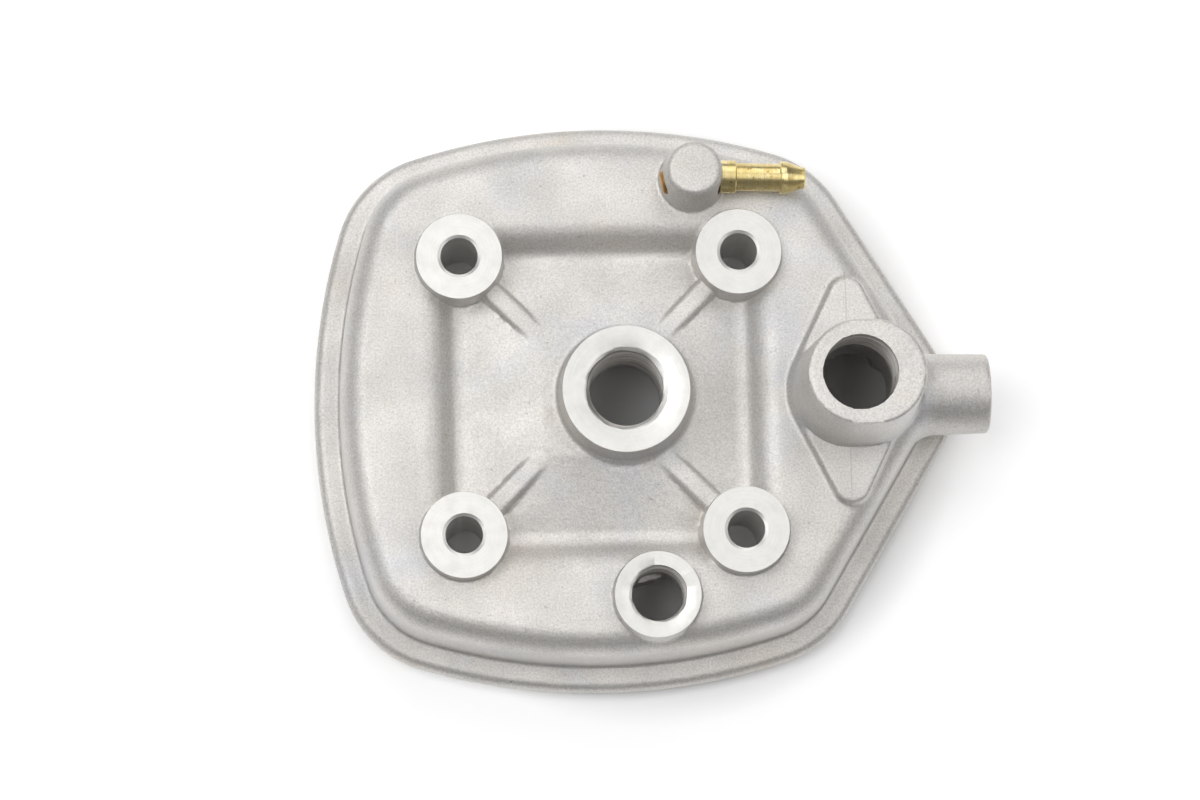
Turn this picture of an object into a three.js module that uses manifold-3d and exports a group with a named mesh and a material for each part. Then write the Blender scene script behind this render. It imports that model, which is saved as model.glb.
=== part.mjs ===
// Water-cooled two-stroke cylinder head with its bleed nipple, plug and seals.
// Millimetres, +Z up, standing on its sealing face. The origin is at the middle of the
// outline's box on the sealing face, and +X points along the hose spigot.

import * as THREE from 'three';
import { mergeVertices } from 'three/addons/utils/BufferGeometryUtils.js';
import Module from 'manifold-3d';

const manifold = await Module();
manifold.setup();

const degrees = (angle) => (angle * Math.PI) / 180;

// ---------------------------------------------------------------- driving dimensions
const STUD_PITCH = 48;

// Outline of the sealing flange: three bowed sides and a pointed nose under the spigot.
const HALF_WIDTH = 49.9;
const SIDE_BOW_RADIUS = 108;
const CORNER_RADIUS = 19.5;
const NOSE_APEX_X = 65.1;
const NOSE_NORMAL_ANGLE = degrees(31.3);
const NOSE_TIP_RADIUS = 14;

const FLANGE_THICKNESS = 5;
const FLANGE_EDGE_ROUND = 1.5;
const RIM_WIDTH = 4.2;

// Water-jacket dome that stands on the flange.
const DOME_TOP = 20.5;
const DOME_EDGE_ROUND = 3.7;

// Recessed square between the studs: its floor falls from the spark plug to the foot of an
// S-shaped wall.
const FLOOR_CENTRE_TOP = 20.3;
const FLOOR_EDGE_TOP = 17.5;
const FLOOR_HALF_SIDE = 22.8;
const RECESS_HALF_SIDE = 26.2;
const RECESS_MOUTH_HALF_SIDE = 30.2;
const RECESS_SQUARENESS = 8;
// Share of the fall or rise that a curved stretch makes in the first half of its run.
const EARLY_SHARE = 1 / 3;

const STUD_BOSS_RADIUS = 7.4;
const STUD_BOSS_TOP = 23.7;
const STUD_HOLE_RADIUS = 3.25;
const STUD_FOOT_FLARE = 0.5;
const HOLE_CHAMFER = 0.75;

const RIB_WIDTH = 3.3;
const RIB_TOP = 19.5;
const RIB_EDGE_ROUND = 0.9;

const PLUG_X = 4;
const PLUG_BOSS_RADIUS = 10.9;
const PLUG_BOSS_TOP = 27.5;
const PLUG_HOLE_RADIUS = 6.3;
const PLUG_SEAT_CHAMFER = 0.9;
const PLUG_FOOT_FLARE = 1.2;
const PLUG_FOOT_HEIGHT = 19.8;

const SENSOR_X = 8.7;
const SENSOR_Y = -34.8;
const SENSOR_BOSS_RADIUS = 7.4;
const SENSOR_BOSS_TOP = 23.7;
const SENSOR_HOLE_RADIUS = 4.53;

// Thermostat outlet: a lozenge pad, a tower on it and a hose spigot out of its side.
const PAD_X = 42.6;
const PAD_TOP = 21.6;
const PAD_TIP_OFFSET = 16.5;
const PAD_TIP_RADIUS = 3.2;
const PAD_WAIST_RADIUS = 10.5;
const TOWER_TOP = 42;
const TOWER_FOOT_RADIUS = 10;
const TOWER_TOP_RADIUS = 8.9;
const TOWER_OVAL_SHIFT = 2.2;
const TOWER_EDGE_ROUND = 0.6;
const OUTLET_HOLE_RADIUS = 6.35;
const OUTLET_CAVITY_RADIUS = 8;
const OUTLET_CAVITY_TOP = 20.8;
const SPIGOT_Z = 12.8;
const SPIGOT_ROOT_RADIUS = 7.45;
const SPIGOT_END_RADIUS = 6.86;
const SPIGOT_END_X = 67.35;
const SPIGOT_BORE_RADIUS = 4.6;

// Bleed boss with its brass nipple and the brass plug of its cross drilling.
const BLEED_X = 16.4;
const BLEED_Y = 37.2;
const BLEED_BOSS_TOP = 31;
const BLEED_BOSS_TOP_RADIUS = 4.7;
const BLEED_BOSS_FOOT_RADIUS = 5.6;
const BLEED_DRILLING_RADIUS = 2;
const BLEED_COUNTERBORE_START = 4.4;

// The nipple leans a little off the X axis; its lengths are measured from the boss's axis.
const NIPPLE_Z = 24;
const NIPPLE_YAW = degrees(-2.1);
const NIPPLE_COLLAR_RADIUS = 2.85;
const NIPPLE_BARREL_START = 7.5;
const NIPPLE_BARREL_RADIUS = 2.4;
const NIPPLE_BARB_START = 15;
const NIPPLE_TAPER_START = 16.2;
const NIPPLE_TIP_RADIUS = 1.9;
const NIPPLE_TIP = 19.4;
const NIPPLE_BORE_RADIUS = 1.1;
const BLEED_PLUG_YAW = degrees(192);
const BLEED_PLUG_LENGTH = 3;

// Underside: combustion chamber, lands, seal grooves and the open water jacket.
const BORE_RADIUS = 26;
const SQUISH_EDGE_RISE = 0.4;
const SQUISH_RISE = 1.2;
const CHAMBER_RADIUS = 19;
const CHAMBER_ROOF = 13;
const CHAMBER_SEAL_RADIUS = 28.6;
const INNER_LAND_RADIUS = 32;
const JACKET_INSET = 10.5;
const JACKET_ROOF = 14.5;
const STUD_PILLAR_RADIUS = 7.2;
const JACKET_SEAL_INSET = 5.6;
const SEAL_SECTION = 1.8;
const SEAL_EDGE_ROUND = 0.5;

const FIT_GAP = 0.3;
const CUT_MARGIN = 1;
const FINE_CUT_MARGIN = 0.25;
const WELD_DISTANCE = 1e-4;
const POINT_SPACING = 1e-3;
const ARC_STEP = degrees(6);
const BOSS_SEGMENTS = 32;
const SMALL_SEGMENTS = 20;

// ---------------------------------------------------------------- solids
function toSolid(geometry) {
  const bare = geometry.clone();
  bare.deleteAttribute('normal');
  bare.deleteAttribute('uv');
  const merged = mergeVertices(bare, WELD_DISTANCE);
  const kept = [];
  const corners = merged.index.array;
  for (let i = 0; i < corners.length; i += 3) {
    const [a, b, c] = corners.slice(i, i + 3);
    if (a !== b && b !== c && a !== c) kept.push(a, b, c);
  }
  const mesh = new manifold.Mesh({
    numProp: 3,
    vertProperties: new Float32Array(merged.attributes.position.array),
    triVerts: new Uint32Array(kept),
  });
  return new manifold.Manifold(mesh);
}

function toGeometry(solid) {
  const mesh = solid.getMesh();
  const geometry = new THREE.BufferGeometry();
  geometry.setAttribute('position', new THREE.BufferAttribute(mesh.vertProperties, 3));
  geometry.setIndex(new THREE.BufferAttribute(mesh.triVerts, 1));
  geometry.computeVertexNormals();
  return geometry;
}

// A turned solid about a vertical axis; the profile holds [radius, height] from bottom to top.
function turned(profile, x, y, segments = BOSS_SEGMENTS) {
  const points = profile.map(([radius, height]) => new THREE.Vector2(radius, height));
  const geometry = new THREE.LatheGeometry(points, segments);
  geometry.rotateX(Math.PI / 2);
  geometry.translate(x, y, 0);
  return toSolid(geometry);
}

// A turned solid about an axis along +X; the profile holds [radius, x].
function turnedAlongX(profile, y, z, segments = SMALL_SEGMENTS) {
  const points = profile.map(([radius, along]) => new THREE.Vector2(radius, along));
  const geometry = new THREE.LatheGeometry(points, segments);
  geometry.rotateZ(-Math.PI / 2);
  geometry.translate(0, y, z);
  return toSolid(geometry);
}

// A solid turned about a level axis out of the bleed boss; the profile holds [radius, distance].
function turnedFromBleed(profile, yaw) {
  const points = profile.map(([radius, along]) => new THREE.Vector2(radius, along));
  const geometry = new THREE.LatheGeometry(points, SMALL_SEGMENTS);
  geometry.rotateZ(yaw - Math.PI / 2);
  geometry.translate(BLEED_X, BLEED_Y, NIPPLE_Z);
  return toSolid(geometry);
}

function hole(radius, low, high, x, y, segments = BOSS_SEGMENTS) {
  return turned([[0, low], [radius, low], [radius, high], [0, high]], x, y, segments);
}

// A hole whose mouth opens into a 45 degree chamfer at the given face height.
function chamferedHole(radius, chamfer, low, face, x, y) {
  const profile = [
    [0, low],
    [radius, low],
    [radius, face - chamfer],
    [radius + chamfer + CUT_MARGIN, face + CUT_MARGIN],
    [0, face + CUT_MARGIN],
  ];
  return turned(profile, x, y);
}

// A plate between two heights with its edges rounded by the bevel.
function plateGeometry(points, low, high, round, steps) {
  const geometry = new THREE.ExtrudeGeometry(new THREE.Shape(points), {
    depth: high - low - 2 * round,
    bevelEnabled: round > 0,
    bevelThickness: round,
    bevelSize: round,
    bevelOffset: -round,
    bevelSegments: steps,
  });
  geometry.translate(0, 0, low + round);
  return geometry;
}

function plate(points, low, high, round = 0, steps = 2) {
  return toSolid(plateGeometry(points, low, high, round, steps));
}

// ---------------------------------------------------------------- outlines
function arcPoints({ centre, radius, from, to }, inset = 0) {
  const count = Math.max(2, Math.ceil(Math.abs(to - from) / ARC_STEP) + 1);
  const reach = radius - inset;
  return Array.from({ length: count }, (_, i) => {
    const angle = from + ((to - from) * i) / (count - 1);
    return new THREE.Vector2(
      centre.x + reach * Math.cos(angle),
      centre.y + reach * Math.sin(angle),
    );
  });
}

function mirroredBelow(upper) {
  const lower = upper.filter((point) => point.y > WELD_DISTANCE).reverse();
  return [...upper, ...lower.map((point) => new THREE.Vector2(point.x, -point.y))];
}

// The arcs of the outline above the X axis: nose tip, corner, bowed side in two halves so
// that its crest is a point of the outline, corner, bowed end.
// Their centres stay put when the outline moves inwards; only the radii shrink.
function outlineArcs() {
  const spread = SIDE_BOW_RADIUS - HALF_WIDTH;
  const cornerReach = SIDE_BOW_RADIUS - CORNER_RADIUS;
  const sideCentre = new THREE.Vector2(0, -spread);
  const endCentre = new THREE.Vector2(spread, 0);
  const normal = new THREE.Vector2(Math.cos(NOSE_NORMAL_ANGLE), Math.sin(NOSE_NORMAL_ANGLE));
  const along = new THREE.Vector2(-normal.y, normal.x);
  const tipCentre = new THREE.Vector2(NOSE_APEX_X - NOSE_TIP_RADIUS / normal.x, 0);

  // The nose corner touches the straight nose side and the bowed side.
  const foot = normal.clone().multiplyScalar(NOSE_APEX_X * normal.x - CORNER_RADIUS);
  const toFoot = foot.clone().sub(sideCentre);
  const half = toFoot.dot(along);
  const slide = Math.sqrt(half ** 2 - toFoot.lengthSq() + cornerReach ** 2) - half;
  const noseCorner = foot.addScaledVector(along, slide);

  // The far corner touches two equal bows, so its centre is on the diagonal.
  const diagonal = (Math.sqrt(2 * cornerReach ** 2 - spread ** 2) - spread) / 2;
  const farCorner = new THREE.Vector2(-diagonal, diagonal);

  const noseTurn = noseCorner.clone().sub(sideCentre).angle();
  const sideTurn = farCorner.clone().sub(sideCentre).angle();
  const endTurn = farCorner.clone().sub(endCentre).angle();
  return [
    { centre: tipCentre, radius: NOSE_TIP_RADIUS, from: 0, to: NOSE_NORMAL_ANGLE },
    { centre: noseCorner, radius: CORNER_RADIUS, from: NOSE_NORMAL_ANGLE, to: noseTurn },
    { centre: sideCentre, radius: SIDE_BOW_RADIUS, from: noseTurn, to: Math.PI / 2 },
    { centre: sideCentre, radius: SIDE_BOW_RADIUS, from: Math.PI / 2, to: sideTurn },
    { centre: farCorner, radius: CORNER_RADIUS, from: sideTurn, to: endTurn },
    { centre: endCentre, radius: SIDE_BOW_RADIUS, from: endTurn, to: Math.PI },
  ];
}

function headOutline(inset) {
  const upper = outlineArcs().flatMap((arc) => arcPoints(arc, inset));
  const distinct = upper.filter((point, i) => i === 0 || point.distanceTo(upper[i - 1]) > POINT_SPACING);
  return mirroredBelow(distinct);
}

// The lozenge round a waist circle and two smaller tip circles above and below it.
function lozenge() {
  const lean = Math.asin((PAD_WAIST_RADIUS - PAD_TIP_RADIUS) / PAD_TIP_OFFSET);
  const waist = new THREE.Vector2(PAD_X, 0);
  const tip = new THREE.Vector2(PAD_X, PAD_TIP_OFFSET);
  const upper = [
    ...arcPoints({ centre: waist, radius: PAD_WAIST_RADIUS, from: 0, to: lean }),
    ...arcPoints({ centre: tip, radius: PAD_TIP_RADIUS, from: lean, to: Math.PI - lean }),
    ...arcPoints({ centre: waist, radius: PAD_WAIST_RADIUS, from: Math.PI - lean, to: Math.PI }),
  ];
  return mirroredBelow(upper);
}

// ---------------------------------------------------------------- the casting
const studPlaces = [-1, 1].flatMap((side) =>
  [-1, 1].map((end) => [(end * STUD_PITCH) / 2, (side * STUD_PITCH) / 2]),
);

// A round boss with a flared foot where it leaves the surface below it.
function boss(x, y, radius, flare, foot, top) {
  const profile = [
    [0, JACKET_ROOF],
    [radius + flare, JACKET_ROOF],
    [radius + flare, foot],
    [radius + flare / 2, foot + flare],
    [radius, top],
    [0, top],
  ];
  return turned(profile, x, y);
}

// The air above the recess: turned, then squared up, with the sloping floor as its underside.
function recessSpace() {
  const mouth = DOME_TOP + FINE_CUT_MARGIN;
  const middle = (FLOOR_EDGE_TOP + DOME_TOP) / 2;
  const early = EARLY_SHARE * (middle - FLOOR_EDGE_TOP);
  const floorFall = FLOOR_CENTRE_TOP - FLOOR_EDGE_TOP;
  const wallHalfRun = (RECESS_HALF_SIDE - FLOOR_HALF_SIDE) / 2;
  const profile = [
    [0, FLOOR_CENTRE_TOP],
    [FLOOR_HALF_SIDE / 2, FLOOR_CENTRE_TOP - EARLY_SHARE * floorFall],
    [FLOOR_HALF_SIDE, FLOOR_EDGE_TOP],
    [FLOOR_HALF_SIDE + wallHalfRun, FLOOR_EDGE_TOP + early],
    [RECESS_HALF_SIDE, middle],
    [RECESS_HALF_SIDE + wallHalfRun, DOME_TOP - early],
    [RECESS_MOUTH_HALF_SIDE, mouth],
    [RECESS_MOUTH_HALF_SIDE, mouth + CUT_MARGIN],
    [0, mouth + CUT_MARGIN],
  ];
  const points = profile.map(([radius, height]) => new THREE.Vector2(radius, height));
  const geometry = new THREE.LatheGeometry(points, 2 * BOSS_SEGMENTS);
  geometry.rotateX(Math.PI / 2);
  const position = geometry.attributes.position;
  for (let i = 0; i < position.count; i += 1) {
    const x = position.getX(i);
    const y = position.getY(i);
    const square = (Math.abs(x) ** RECESS_SQUARENESS + Math.abs(y) ** RECESS_SQUARENESS)
      ** (1 / RECESS_SQUARENESS);
    const spread = square > 0 ? Math.hypot(x, y) / square : 1;
    position.setXY(i, x * spread, y * spread);
  }
  return toSolid(geometry);
}

// A level rib that runs from a stud boss to where the rising floor swallows it.
function rib(studX, studY) {
  const start = STUD_BOSS_RADIUS / 2;
  const outer = Math.hypot(studX, studY);
  const half = RIB_WIDTH / 2;
  const bar = [
    new THREE.Vector2(start, -half),
    new THREE.Vector2(outer, -half),
    new THREE.Vector2(outer, half),
    new THREE.Vector2(start, half),
  ];
  const geometry = plateGeometry(bar, FLOOR_EDGE_TOP - 2 * CUT_MARGIN, RIB_TOP, RIB_EDGE_ROUND, 2);
  geometry.rotateZ(Math.atan2(studY, studX));
  return toSolid(geometry);
}

function outletTower() {
  const profile = [
    [0, PAD_TOP - CUT_MARGIN],
    [TOWER_FOOT_RADIUS, PAD_TOP - CUT_MARGIN],
    [TOWER_TOP_RADIUS, TOWER_TOP - TOWER_EDGE_ROUND],
    [TOWER_TOP_RADIUS - TOWER_EDGE_ROUND, TOWER_TOP],
    [0, TOWER_TOP],
  ];
  return turned(profile, PAD_X, 0).add(turned(profile, PAD_X + TOWER_OVAL_SHIFT, 0));
}

function hoseSpigot() {
  const profile = [
    [0, PAD_X],
    [SPIGOT_ROOT_RADIUS, PAD_X],
    [SPIGOT_END_RADIUS, SPIGOT_END_X - TOWER_EDGE_ROUND],
    [SPIGOT_END_RADIUS - TOWER_EDGE_ROUND, SPIGOT_END_X],
    [0, SPIGOT_END_X],
  ];
  return turnedAlongX(profile, 0, SPIGOT_Z, BOSS_SEGMENTS);
}

function bleedBoss() {
  const profile = [
    [0, JACKET_ROOF],
    [BLEED_BOSS_FOOT_RADIUS, JACKET_ROOF],
    [BLEED_BOSS_FOOT_RADIUS, DOME_TOP],
    [BLEED_BOSS_TOP_RADIUS, BLEED_BOSS_TOP - TOWER_EDGE_ROUND],
    [BLEED_BOSS_TOP_RADIUS - TOWER_EDGE_ROUND, BLEED_BOSS_TOP],
    [0, BLEED_BOSS_TOP],
  ];
  return turned(profile, BLEED_X, BLEED_Y);
}

function rawCasting() {
  const below = -2 * FLANGE_EDGE_ROUND;
  const flange = plate(headOutline(0), below, FLANGE_THICKNESS, FLANGE_EDGE_ROUND);
  const ground = plate(headOutline(-CUT_MARGIN), below - CUT_MARGIN, 0);
  const dome = plate(headOutline(RIM_WIDTH), -DOME_EDGE_ROUND, DOME_TOP, DOME_EDGE_ROUND, 3);
  const parts = [
    boss(PLUG_X, 0, PLUG_BOSS_RADIUS, PLUG_FOOT_FLARE, PLUG_FOOT_HEIGHT, PLUG_BOSS_TOP),
    boss(SENSOR_X, SENSOR_Y, SENSOR_BOSS_RADIUS, STUD_FOOT_FLARE, DOME_TOP, SENSOR_BOSS_TOP),
    ...studPlaces.map(([x, y]) =>
      boss(x, y, STUD_BOSS_RADIUS, STUD_FOOT_FLARE, DOME_TOP, STUD_BOSS_TOP),
    ),
    ...studPlaces.map(([x, y]) => rib(x, y)),
    plate(lozenge(), DOME_TOP - CUT_MARGIN, PAD_TOP, TOWER_EDGE_ROUND, 1),
    outletTower(),
    hoseSpigot(),
    bleedBoss(),
  ];
  const shell = flange.add(dome).subtract(ground).subtract(recessSpace());
  return parts.reduce((solid, part) => solid.add(part), shell);
}

// The combustion bowl shares the spark plug's axis; the squish band is true to the bore.
function combustionChamber() {
  const squish = turned(
    [
      [0, -CUT_MARGIN],
      [BORE_RADIUS, -CUT_MARGIN],
      [BORE_RADIUS, SQUISH_EDGE_RISE],
      [CHAMBER_RADIUS / 2, SQUISH_RISE],
      [0, SQUISH_RISE],
    ],
    0,
    0,
  );
  const steps = 8;
  const bowl = Array.from({ length: steps + 1 }, (_, i) => {
    const turn = (i / steps) * (Math.PI / 2);
    return [CHAMBER_RADIUS * Math.cos(turn), CHAMBER_ROOF * Math.sin(turn)];
  });
  return squish.add(turned([[0, 0], ...bowl.slice(0, -1), [0, CHAMBER_ROOF]], PLUG_X, 0));
}

// The open water jacket between the two lands, with solid pillars round the studs.
function waterJacket() {
  const space = plate(headOutline(JACKET_INSET), -CUT_MARGIN, JACKET_ROOF);
  const low = -2 * CUT_MARGIN;
  const high = JACKET_ROOF + CUT_MARGIN;
  const land = hole(INNER_LAND_RADIUS, low, high, 0, 0, 2 * BOSS_SEGMENTS);
  const pillars = studPlaces.map(([x, y]) => hole(STUD_PILLAR_RADIUS, low, high, x, y));
  return pillars.reduce((solid, pillar) => solid.subtract(pillar), space.subtract(land));
}

const sealGrooveDepth = SEAL_SECTION + FIT_GAP;
const sealHalfGroove = SEAL_SECTION / 2 + FIT_GAP;

function chamberSealGroove() {
  const inner = CHAMBER_SEAL_RADIUS - sealHalfGroove;
  const outer = CHAMBER_SEAL_RADIUS + sealHalfGroove;
  const segments = 2 * BOSS_SEGMENTS;
  const disc = hole(outer, -CUT_MARGIN, sealGrooveDepth, 0, 0, segments);
  const core = hole(inner, -2 * CUT_MARGIN, sealGrooveDepth + CUT_MARGIN, 0, 0, segments);
  return disc.subtract(core);
}

function jacketSealGroove() {
  const outer = headOutline(JACKET_SEAL_INSET - sealHalfGroove);
  const inner = headOutline(JACKET_SEAL_INSET + sealHalfGroove);
  const disc = plate(outer, -CUT_MARGIN, sealGrooveDepth);
  return disc.subtract(plate(inner, -2 * CUT_MARGIN, sealGrooveDepth + CUT_MARGIN));
}

// The nipple's drilling with its counterbore, the plugged drilling opposite, and a riser
// into both from the jacket.
function bleedDrillings() {
  const end = BLEED_BOSS_FOOT_RADIUS + 2 * CUT_MARGIN;
  const bore = BLEED_DRILLING_RADIUS;
  const collarBore = NIPPLE_COLLAR_RADIUS + FIT_GAP;
  const start = BLEED_COUNTERBORE_START;
  const overlap = -CUT_MARGIN;
  const drilling = [[0, overlap], [bore, overlap]];
  const stepped = [...drilling, [bore, start], [collarBore, start], [collarBore, end], [0, end]];
  const plain = [...drilling, [bore, end], [0, end]];
  const riserLow = JACKET_ROOF - CUT_MARGIN;
  const riser = hole(bore, riserLow, NIPPLE_Z, BLEED_X, BLEED_Y, SMALL_SEGMENTS);
  return riser.add(turnedFromBleed(stepped, NIPPLE_YAW)).add(turnedFromBleed(plain, BLEED_PLUG_YAW));
}

function spigotBore() {
  const end = SPIGOT_END_X + CUT_MARGIN;
  const profile = [[0, PAD_X], [SPIGOT_BORE_RADIUS, PAD_X], [SPIGOT_BORE_RADIUS, end], [0, end]];
  return turnedAlongX(profile, 0, SPIGOT_Z);
}

function headCasting() {
  const throughLow = -CUT_MARGIN;
  const blindLow = FLANGE_THICKNESS;
  const cuts = [
    combustionChamber(),
    waterJacket(),
    chamberSealGroove(),
    jacketSealGroove(),
    bleedDrillings(),
    spigotBore(),
    chamferedHole(PLUG_HOLE_RADIUS, PLUG_SEAT_CHAMFER, 0, PLUG_BOSS_TOP, PLUG_X, 0),
    hole(SENSOR_HOLE_RADIUS, blindLow, SENSOR_BOSS_TOP + CUT_MARGIN, SENSOR_X, SENSOR_Y),
    hole(OUTLET_HOLE_RADIUS, blindLow, TOWER_TOP + CUT_MARGIN, PAD_X, 0),
    hole(OUTLET_CAVITY_RADIUS, JACKET_ROOF - CUT_MARGIN, OUTLET_CAVITY_TOP, PAD_X, 0),
    ...studPlaces.map(([x, y]) =>
      chamferedHole(STUD_HOLE_RADIUS, HOLE_CHAMFER, throughLow, STUD_BOSS_TOP, x, y),
    ),
  ];
  return cuts.reduce((solid, cut) => solid.subtract(cut), rawCasting());
}

// ---------------------------------------------------------------- the small pieces
// A barbed brass hose nipple: a stub in the drilling, a collar, the barrel and the barb.
function bleedNipple() {
  const stub = BLEED_DRILLING_RADIUS - FIT_GAP;
  const collarStart = BLEED_COUNTERBORE_START + FIT_GAP;
  const stubStart = BLEED_DRILLING_RADIUS + FIT_GAP;
  const profile = [
    [NIPPLE_BORE_RADIUS, stubStart],
    [stub, stubStart],
    [stub, collarStart],
    [NIPPLE_COLLAR_RADIUS, collarStart],
    [NIPPLE_COLLAR_RADIUS, NIPPLE_BARREL_START],
    [NIPPLE_BARREL_RADIUS, NIPPLE_BARREL_START],
    [NIPPLE_BARREL_RADIUS, NIPPLE_BARB_START],
    [NIPPLE_COLLAR_RADIUS, NIPPLE_BARB_START],
    [NIPPLE_COLLAR_RADIUS, NIPPLE_TAPER_START],
    [NIPPLE_TIP_RADIUS, NIPPLE_TIP],
    [NIPPLE_BORE_RADIUS, NIPPLE_TIP],
    [NIPPLE_BORE_RADIUS, stubStart],
  ];
  return turnedFromBleed(profile, NIPPLE_YAW);
}

function bleedPlug() {
  const end = BLEED_BOSS_FOOT_RADIUS;
  const start = end - BLEED_PLUG_LENGTH;
  const radius = BLEED_DRILLING_RADIUS - FIT_GAP;
  return turnedFromBleed([[0, start], [radius, start], [radius, end], [0, end]], BLEED_PLUG_YAW);
}

function chamberSeal() {
  const half = SEAL_SECTION / 2;
  const sides = 8;
  const profile = Array.from({ length: sides + 1 }, (_, i) => {
    const turn = (2 * Math.PI * i) / sides;
    return [CHAMBER_SEAL_RADIUS + half * Math.cos(turn), half + half * Math.sin(turn)];
  });
  return turned(profile, 0, 0, 2 * BOSS_SEGMENTS);
}

function jacketSeal() {
  const half = SEAL_SECTION / 2;
  const outer = plate(headOutline(JACKET_SEAL_INSET - half), 0, SEAL_SECTION, SEAL_EDGE_ROUND, 1);
  const inner = headOutline(JACKET_SEAL_INSET + half);
  return outer.subtract(plate(inner, -CUT_MARGIN, SEAL_SECTION + CUT_MARGIN));
}

// ---------------------------------------------------------------- the assembly
const aluminium = { color: 0xb9b7b3, roughness: 0.6, metalness: 0.9 };
const brass = { color: 0xc2a14e, roughness: 0.35, metalness: 1 };
const rubber = { color: 0x1c1c1c, roughness: 0.85, metalness: 0 };

const pieces = {
  head_casting: [headCasting(), aluminium],
  bleed_nipple: [bleedNipple(), brass],
  bleed_drilling_plug: [bleedPlug(), brass],
  chamber_o_ring: [chamberSeal(), rubber],
  water_jacket_seal: [jacketSeal(), rubber],
};

// The stud square's centre sits left of the middle of the box, by the spigot's overhang.
const middleX = (SPIGOT_END_X - HALF_WIDTH) / 2;
const group = new THREE.Group();
group.position.set(-middleX, 0, 0);
for (const [name, [solid, finish]] of Object.entries(pieces)) {
  const mesh = new THREE.Mesh(toGeometry(solid), new THREE.MeshStandardMaterial(finish));
  mesh.name = name;
  group.add(mesh);
}

export default group;
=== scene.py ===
"""Looks of the water-cooled cylinder head: the casting's filleted skin, its turned seats and
threads, the brass nipple and plug, the seals, their materials, the light and the camera.

Lengths are in millimetres in the head's own frame, whose origin is the middle of the stud
square on the sealing face; to_metres() moves them into the CAD frame."""

import math

import bmesh
import bpy
import numpy as np
from mathutils import Euler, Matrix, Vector


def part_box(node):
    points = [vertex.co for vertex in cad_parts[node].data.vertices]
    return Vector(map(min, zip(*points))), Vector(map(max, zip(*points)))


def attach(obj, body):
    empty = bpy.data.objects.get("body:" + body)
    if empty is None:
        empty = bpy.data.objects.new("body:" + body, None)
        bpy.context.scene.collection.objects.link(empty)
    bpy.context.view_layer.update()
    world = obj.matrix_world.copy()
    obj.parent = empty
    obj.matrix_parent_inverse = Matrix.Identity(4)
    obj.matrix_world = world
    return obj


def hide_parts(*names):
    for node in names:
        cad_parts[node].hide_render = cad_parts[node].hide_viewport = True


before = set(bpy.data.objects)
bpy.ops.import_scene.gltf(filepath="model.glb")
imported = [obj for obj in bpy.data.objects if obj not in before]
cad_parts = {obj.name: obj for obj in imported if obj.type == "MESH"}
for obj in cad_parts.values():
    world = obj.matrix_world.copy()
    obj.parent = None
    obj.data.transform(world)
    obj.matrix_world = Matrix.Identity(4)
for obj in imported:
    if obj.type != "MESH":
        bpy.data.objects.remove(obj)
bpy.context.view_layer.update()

MM = 0.001
TAU = 2 * math.pi
WELD = 2e-7

# ------------------------------------------------------------------ driving dimensions (mm)
STUD_PITCH = 48
HALF_WIDTH = 49.9
SIDE_BOW_RADIUS = 108
CORNER_RADIUS = 19.5
NOSE_APEX_X = 65.1
NOSE_NORMAL_ANGLE = math.radians(31.3)
NOSE_TIP_RADIUS = 14

FLANGE_THICKNESS = 5
FLANGE_EDGE_ROUND = 1.7
RIM_WIDTH = 4.4
RIM_CREASE_ROUND = 0.45

DOME_TOP = 20.5
DOME_EDGE_ROUND = 4.2
DOME_DRAFT = 0.07
TOP_DISTANCE_SCALE = 0.96  # height above the uneven top to distance from it

RECESS_HALF_SIDE = 26.2
RECESS_CORNER_RADIUS = 5
RECESS_FILLET_RUN = 3.4
RECESS_EDGE_RUN = 4.6
FLOOR_CENTRE_TOP = 20.3
FLOOR_EDGE_TOP = 17.5
FLOOR_HALF_SIDE = 22.8
FLOOR_CROWN_REACH = 10.4  # the floor is level inside this

STUD_BOSS_RADIUS = 7.4
STUD_BOSS_TOP = 23.7
STUD_BOSS_DRAFT = 0.05
STUD_HOLE_RADIUS = 3.2
HOLE_CHAMFER = 0.5
BOSS_FOOT_FILLET = 0.35

RIB_HALF_WIDTH = 1.8
RIB_TOP = 19.8
RIB_CREST_ROUND = 0.9
RIB_DRAFT = 0.12
RIB_INNER_END = 14
RIB_FOOT_FILLET = 0.35

PLUG_X = 4
PLUG = (PLUG_X, 0)
PLUG_BOSS_RADIUS = 10.9
PLUG_BOSS_TOP = 27.5
PLUG_BOSS_DRAFT = 0.085
PLUG_FOOT_FILLET = 0.9
PLUG_MINOR_RADIUS = 6.3
PLUG_MOUTH_RADIUS = 7.25
PLUG_THREAD_LOW = 11.5
PLUG_PITCH = 1.25

SENSOR = (8.7, -34.8)
SENSOR_BOSS_RADIUS = 7.4
SENSOR_BOSS_TOP = 23.7
SENSOR_MINOR_RADIUS = 4.46
SENSOR_MOUTH_RADIUS = 5.0
SENSOR_THREAD_LOW = 16.5
SENSOR_PITCH = 1.0

PAD_X = 42.6
OUTLET = (PAD_X, 0)
PAD_TOP = 21.6
PAD_TIP_OFFSET = 16.5
PAD_TIP_RADIUS = 3.2
PAD_WAIST_RADIUS = 10.5
PAD_EDGE_ROUND = 0.8
PAD_FOOT_FILLET = 0.7
PAD_BURIED = 3  # how far the pad goes on down inside the dome
PARTING_X = PAD_X - 0.3
PARTING_CORE = 0.07  # from the middle of the line, where it starts to fade
PARTING_EDGE = 0.19  # where it has gone
TOWER_TOP = 42
TOWER_FOOT_RADIUS = 10
TOWER_TOP_RADIUS = 8.9
TOWER_OVAL_SHIFT = 2.2  # length of the straight between the oval's two halves
TOWER_EDGE_ROUND = 0.7
TOWER_FOOT_FILLET = 0.3
TOWER_BURIED = 1
OUTLET_MINOR_RADIUS = 6.3
OUTLET_LIP = 0.6  # plain cast mouth above the thread
OUTLET_CAVITY_RADIUS = 8
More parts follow.
